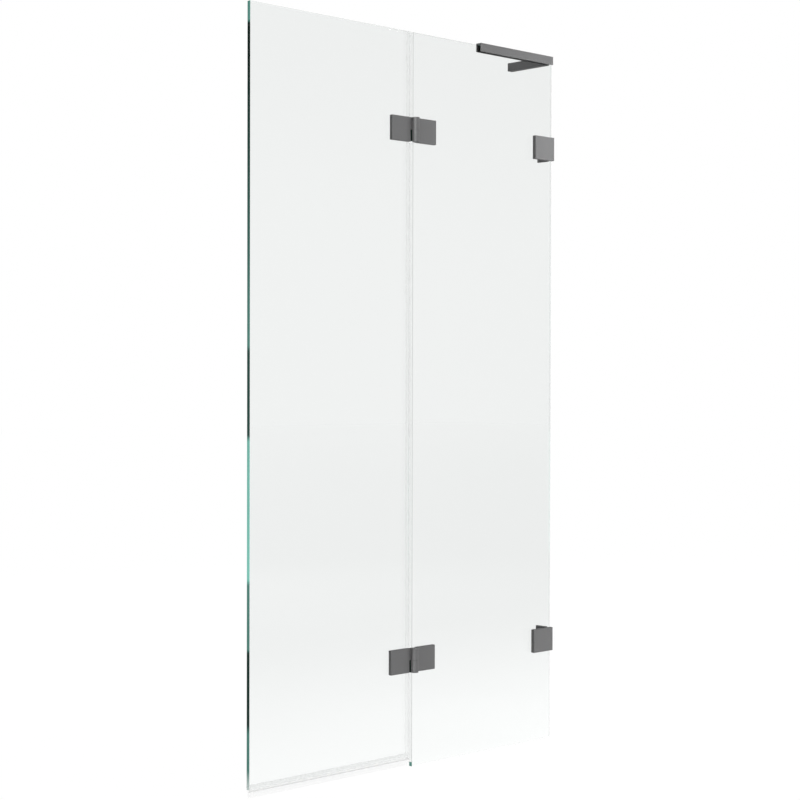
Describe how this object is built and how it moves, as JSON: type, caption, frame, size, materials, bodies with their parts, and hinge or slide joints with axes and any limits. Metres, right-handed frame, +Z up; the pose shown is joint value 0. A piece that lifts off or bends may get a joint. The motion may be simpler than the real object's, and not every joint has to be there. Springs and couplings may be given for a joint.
{
  "type": "bath screen",
  "caption": "Frameless glass bath screen: a wall-clamped fixed pane with an L-shaped stabiliser and a hinged pane that swings outwards, with clear seals.",
  "frame": {"origin": "on the wall plane, in the middle of the glass thickness, at the level of the bath rim", "axes": "+X into the wall, along the panes; -Y towards the room, the side of the hinge barrels; +Z up"},
  "size_m": [0.85, 0.1396, 1.5047],
  "materials": {
    "clear_glass": "clear toughened float glass with ground and polished edges, green through the edge",
    "satin_grey_metal": "satin mid-grey metallic coat",
    "steel": "turned stainless",
    "clear_pvc": "clear extruded soft plastic",
    "white_nylon": "moulded",
    "dark_nylon": "moulded",
    "soft_gasket": "die-cut sheet"
  },
  "bodies": {
    "fixed_side": {"fixed_pane": "clear_glass", "wall_edge_seal": "clear_pvc", "stabiliser_rail": "satin_grey_metal", "stabiliser_liner": "soft_gasket", "stabiliser_arm": "satin_grey_metal", "stabiliser_wall_plate": "steel", "stabiliser_corner_screws": "steel", "stabiliser_set_screws": "steel", "upper_fixed_leaf": "satin_grey_metal", "upper_fixed_leaf_gasket": "soft_gasket", "upper_fixed_leaf_inserts": "white_nylon", "upper_fixed_leaf_screws": "steel", "upper_hinge_pin": "steel", "upper_hinge_washer": "dark_nylon", "upper_hinge_foot_cap": "satin_grey_metal", "upper_clamp_plate": "satin_grey_metal", "upper_wall_angle": "satin_grey_metal", "upper_clamp_front_gasket": "soft_gasket", "upper_clamp_back_gasket": "soft_gasket", "upper_clamp_sleeves": "white_nylon", "upper_clamp_screws": "steel", "lower_fixed_leaf": "satin_grey_metal", "lower_fixed_leaf_gasket": "soft_gasket", "lower_fixed_leaf_inserts": "white_nylon", "lower_fixed_leaf_screws": "steel", "lower_hinge_pin": "steel", "lower_hinge_washer": "dark_nylon", "lower_hinge_foot_cap": "satin_grey_metal", "lower_clamp_plate": "satin_grey_metal", "lower_wall_angle": "satin_grey_metal", "lower_clamp_front_gasket": "soft_gasket", "lower_clamp_back_gasket": "soft_gasket", "lower_clamp_sleeves": "white_nylon", "lower_clamp_screws": "steel"},
    "moving_panel": {"moving_pane": "clear_glass", "upper_edge_seal": "clear_pvc", "middle_edge_seal": "clear_pvc", "lower_edge_seal": "clear_pvc", "bottom_seal": "clear_pvc", "upper_moving_leaf": "satin_grey_metal", "upper_moving_leaf_gasket": "soft_gasket", "upper_moving_leaf_inserts": "white_nylon", "upper_moving_leaf_screws": "steel", "upper_hinge_bush": "white_nylon", "upper_hinge_top_cap": "satin_grey_metal", "lower_moving_leaf": "satin_grey_metal", "lower_moving_leaf_gasket": "soft_gasket", "lower_moving_leaf_inserts": "white_nylon", "lower_moving_leaf_screws": "steel", "lower_hinge_bush": "white_nylon", "lower_hinge_top_cap": "satin_grey_metal"}
  },
  "joints": [
    {"name": "panel_swing", "type": "hinge", "parent": "fixed_side", "child": "moving_panel", "pos_m": [-0.4295, -0.0161, 0.76], "axis": [0, 0, 1], "range_deg": [0, 180]}
  ]
}
